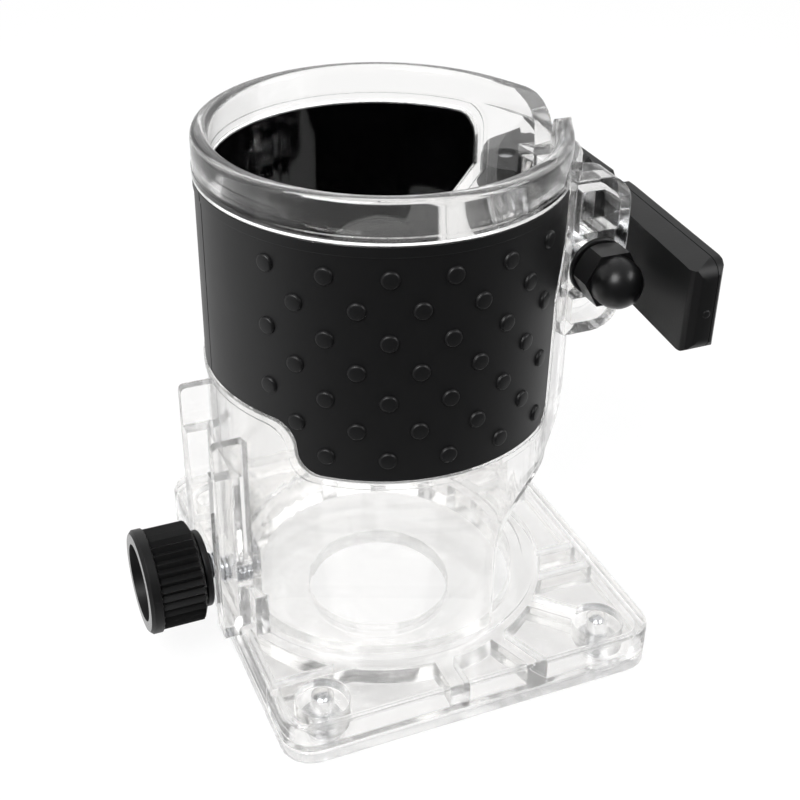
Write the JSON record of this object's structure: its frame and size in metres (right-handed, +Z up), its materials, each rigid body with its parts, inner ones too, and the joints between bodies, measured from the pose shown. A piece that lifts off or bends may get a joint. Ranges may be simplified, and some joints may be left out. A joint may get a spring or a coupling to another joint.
{
  "type": "trim router base",
  "caption": "Clear split-collar base for a trim router motor, with rubber grips, a cam-lever clamp, an open chip window and a thumbscrew bracket for an edge guide.",
  "frame": {"origin": "middle of the overall footprint, on the plane of the sub-base's underside", "axes": "+Z up along the motor bore, +X towards the clamp, -Y towards the user"},
  "size_m": [0.1124, 0.092, 0.1122],
  "materials": {
    "clear_moulding": "clear, polished",
    "black_rubber": "satin",
    "black_moulding": "satin",
    "black_oxide_steel": "black oxide",
    "zinc_steel": "bright zinc"
  },
  "bodies": {
    "base": {"base_housing": "clear_moulding", "sub_base": "clear_moulding", "base_screw_1": "zinc_steel", "base_screw_2": "zinc_steel", "base_screw_3": "zinc_steel", "base_screw_4": "zinc_steel", "front_grip": "black_rubber", "rear_grip": "black_rubber", "cam_washer": "zinc_steel"},
    "bolt": {"clamp_bolt": "zinc_steel", "lever_pin": "zinc_steel"},
    "lever": {"clamp_lever": "black_moulding"},
    "nut_washer": {"nut_washer": "black_oxide_steel"},
    "cap_nut": {"cap_nut": "black_oxide_steel"},
    "guide_washer": {"guide_washer": "black_moulding"},
    "guide_knob": {"guide_knob": "black_moulding", "guide_stud": "zinc_steel"}
  },
  "joints": [
    {"name": "bolt_slide", "type": "slide", "parent": "base", "child": "bolt", "axis": [0, -1, 0], "range_m": [0, 0.00122]},
    {"name": "lever_swing", "type": "hinge", "parent": "bolt", "child": "lever", "pos_m": [0.0405, 0.0246, 0.0804], "axis": [0, 0, 1], "range_deg": [0, 100]},
    {"name": "nut_travel", "type": "slide", "parent": "bolt", "child": "nut_washer", "axis": [0, -1, 0], "range_m": [0, 0.002]},
    {"name": "nut_turn", "type": "hinge", "parent": "nut_washer", "child": "cap_nut", "pos_m": [0.0405, -0.018, 0.0804], "axis": [0, -1, 0], "range_deg": [0, 721]},
    {"name": "guide_travel", "type": "slide", "parent": "base", "child": "guide_washer", "axis": [-1, 0, 0], "range_m": [0, 0.006]},
    {"name": "knob_turn", "type": "hinge", "parent": "guide_washer", "child": "guide_knob", "pos_m": [-0.0468, 0, 0.0178], "axis": [-1, 0, 0], "range_deg": [0, 2161]}
  ],
  "couplings": [
    {"joint": "lever_swing", "follows": "bolt_slide", "rad_per_m": 1428.6},
    {"joint": "nut_turn", "follows": "nut_travel", "rad_per_m": 6283.2},
    {"joint": "knob_turn", "follows": "guide_travel", "rad_per_m": 6283.2}
  ]
}
